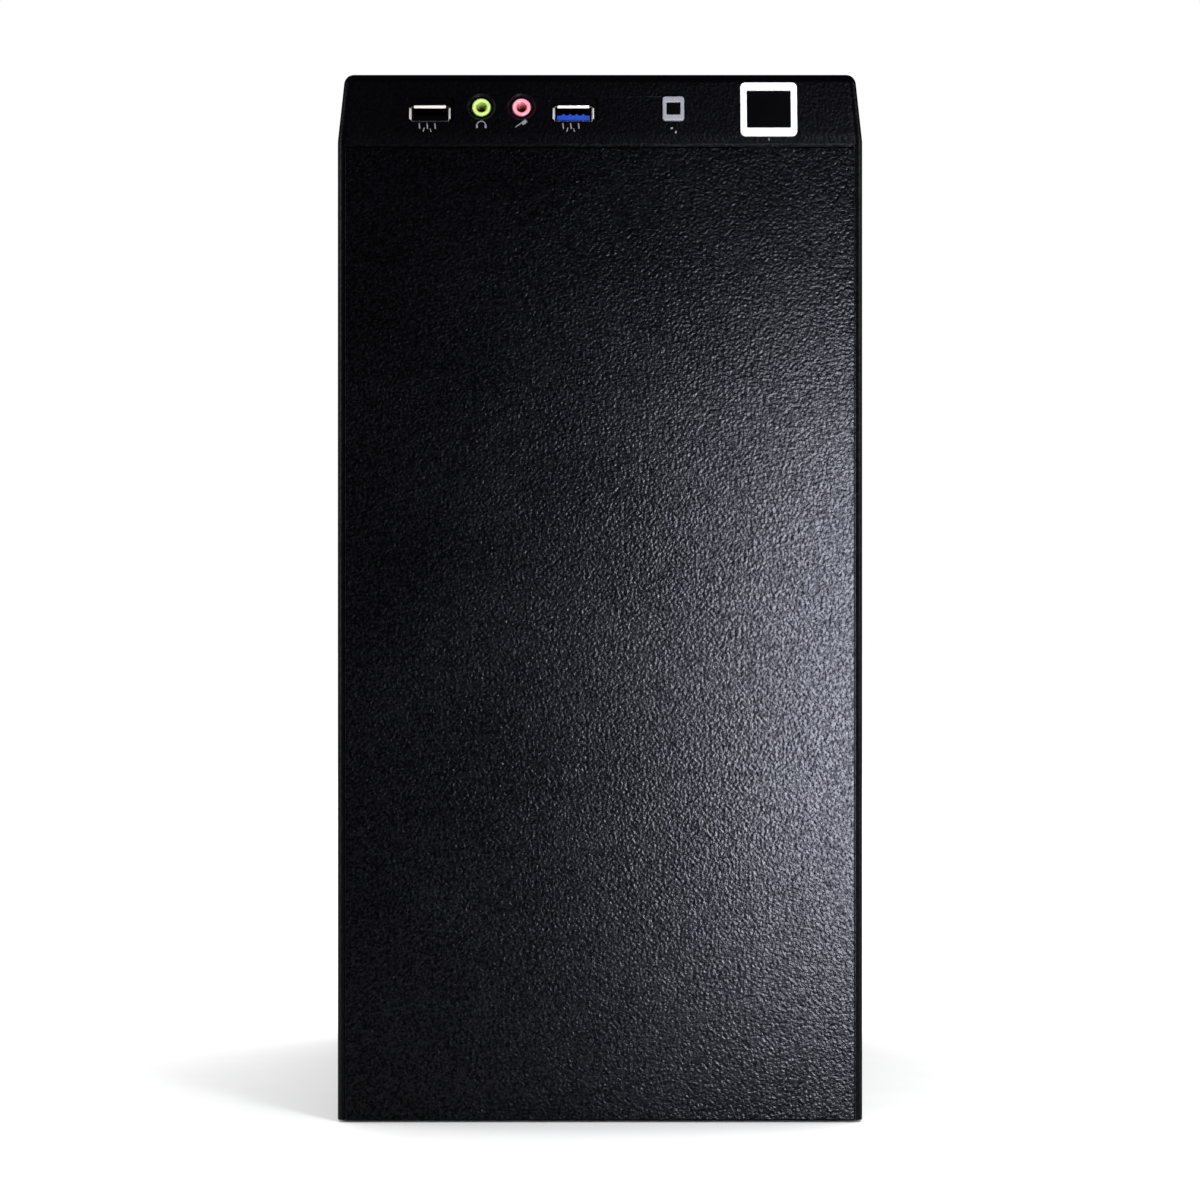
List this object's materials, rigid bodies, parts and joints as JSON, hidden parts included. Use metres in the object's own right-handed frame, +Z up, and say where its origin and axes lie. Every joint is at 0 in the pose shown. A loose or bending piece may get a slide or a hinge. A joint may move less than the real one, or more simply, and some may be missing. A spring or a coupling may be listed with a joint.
{
  "type": "desktop computer tower",
  "caption": "Narrow upright computer case with a flat black front, a sloping strip of ports and buttons above it, sliding side covers and a working interior.",
  "frame": {"origin": "centre of the overall box, on the ground under the feet", "axes": "+Z up, -Y out of the front panel, +X to the right of someone facing the front"},
  "size_m": [0.175, 0.345, 0.35],
  "materials": {
    "front_plastic": "fine-grained moulded texture",
    "button_black": "satin",
    "button_rim_white": "glossy",
    "button_rim_silver": "satin",
    "connector_steel": "bright plated",
    "tongue_black": "moulded",
    "tongue_blue": "moulded",
    "jack_green": "moulded",
    "jack_pink": "moulded",
    "circuit_board": "solder-masked glass-fibre board",
    "black_paint": "fine powder coat",
    "zinc_steel": "galvanised sheet",
    "screw_steel": "nickel plated",
    "rubber": "matt",
    "heatsink_aluminium": "extruded",
    "fan_plastic": "moulded",
    "socket_plastic": "moulded",
    "drive_aluminium": "cast and painted",
    "cable_sleeve": "sleeved wires"
  },
  "bodies": {
    "case": {"front_bezel": "front_plastic", "front_panel": "front_plastic", "usb2_shell": "connector_steel", "usb2_tongue": "tongue_black", "usb3_shell": "connector_steel", "usb3_tongue": "tongue_blue", "headphone_jack": "jack_green", "microphone_jack": "jack_pink", "front_io_board": "circuit_board", "power_switch": "socket_plastic", "reset_switch": "socket_plastic", "chassis_base": "black_paint", "chassis_top": "black_paint", "chassis_front": "zinc_steel", "chassis_rear": "zinc_steel", "motherboard_tray": "zinc_steel", "foot_front_left": "rubber", "foot_back_left": "rubber", "foot_front_right": "rubber", "foot_back_right": "rubber", "slot_cover_1": "zinc_steel", "slot_cover_2": "zinc_steel", "slot_cover_3": "zinc_steel", "slot_cover_4": "zinc_steel", "motherboard": "circuit_board", "io_shield": "connector_steel", "keyboard_mouse_ports": "connector_steel", "video_ports": "connector_steel", "rear_usb_ports": "connector_steel", "network_port": "connector_steel", "rear_audio_jacks": "socket_plastic", "cpu_heatsink": "heatsink_aluminium", "cpu_fan_frame": "fan_plastic", "memory_module_1": "circuit_board", "memory_module_2": "circuit_board", "rear_fan_frame": "fan_plastic", "psu_case": "zinc_steel", "psu_fan_frame": "fan_plastic", "psu_circuit_board": "circuit_board", "psu_inlet": "socket_plastic", "psu_switch_housing": "socket_plastic", "drive_cage": "zinc_steel", "hard_drive": "drive_aluminium", "main_power_cable": "cable_sleeve", "front_io_cable": "cable_sleeve"},
    "power_button": {"power_button": "button_black", "power_button_rim": "button_rim_white"},
    "reset_button": {"reset_button": "button_black", "reset_button_rim": "button_rim_silver"},
    "left_side_panel": {"left_side_panel": "black_paint"},
    "right_side_panel": {"right_side_panel": "black_paint"},
    "rear_fan_rotor": {"rear_fan_rotor": "fan_plastic"},
    "cpu_fan_rotor": {"cpu_fan_rotor": "fan_plastic"},
    "psu_fan_rotor": {"psu_fan_rotor": "fan_plastic"},
    "mains_rocker": {"psu_switch_rocker": "socket_plastic"},
    "thumbscrew_left_bottom": {"thumbscrew_left_bottom": "screw_steel"},
    "thumbscrew_left_top": {"thumbscrew_left_top": "screw_steel"},
    "thumbscrew_right_bottom": {"thumbscrew_right_bottom": "screw_steel"},
    "thumbscrew_right_top": {"thumbscrew_right_top": "screw_steel"}
  },
  "joints": [
    {"name": "power_button_press", "type": "slide", "parent": "case", "child": "power_button", "axis": [0, 0.9613, -0.2756], "range_m": [0, 0.0015], "stiffness_N_per_m": 300, "springref_m": -0.0005},
    {"name": "reset_button_press", "type": "slide", "parent": "case", "child": "reset_button", "axis": [0, 0.9613, -0.2756], "range_m": [0, 0.001], "stiffness_N_per_m": 200, "springref_m": -0.0005},
    {"name": "left_side_panel_slide", "type": "slide", "parent": "case", "child": "left_side_panel", "axis": [0, 1, 0], "range_m": [0, 0.02]},
    {"name": "right_side_panel_slide", "type": "slide", "parent": "case", "child": "right_side_panel", "axis": [0, 1, 0], "range_m": [0, 0.02]},
    {"name": "rear_fan_spin", "type": "hinge", "parent": "case", "child": "rear_fan_rotor", "pos_m": [-0.03, 0.1499, 0.2], "axis": [0, 1, 0], "continuous": true},
    {"name": "cpu_fan_spin", "type": "hinge", "parent": "case", "child": "cpu_fan_rotor", "pos_m": [0.0194, 0.076, 0.188], "axis": [1, 0, 0], "continuous": true},
    {"name": "psu_fan_spin", "type": "hinge", "parent": "case", "child": "psu_fan_rotor", "pos_m": [-0.0025, 0.0854, 0.2723], "axis": [0, 0, 1], "continuous": true},
    {"name": "mains_rocker_tilt", "type": "hinge", "parent": "case", "child": "mains_rocker", "pos_m": [0.048, 0.1619, 0.286], "axis": [1, 0, 0], "range_deg": [0, 24]},
    {"name": "thumbscrew_left_bottom_turn", "type": "hinge", "parent": "left_side_panel", "child": "thumbscrew_left_bottom", "pos_m": [-0.0813, 0.1635, 0.045], "axis": [0, 1, 0], "continuous": true},
    {"name": "thumbscrew_left_top_turn", "type": "hinge", "parent": "left_side_panel", "child": "thumbscrew_left_top", "pos_m": [-0.0813, 0.1635, 0.305], "axis": [0, 1, 0], "continuous": true},
    {"name": "thumbscrew_right_bottom_turn", "type": "hinge", "parent": "right_side_panel", "child": "thumbscrew_right_bottom", "pos_m": [0.0813, 0.1635, 0.045], "axis": [0, 1, 0], "continuous": true},
    {"name": "thumbscrew_right_top_turn", "type": "hinge", "parent": "right_side_panel", "child": "thumbscrew_right_top", "pos_m": [0.0813, 0.1635, 0.305], "axis": [0, 1, 0], "continuous": true}
  ]
}
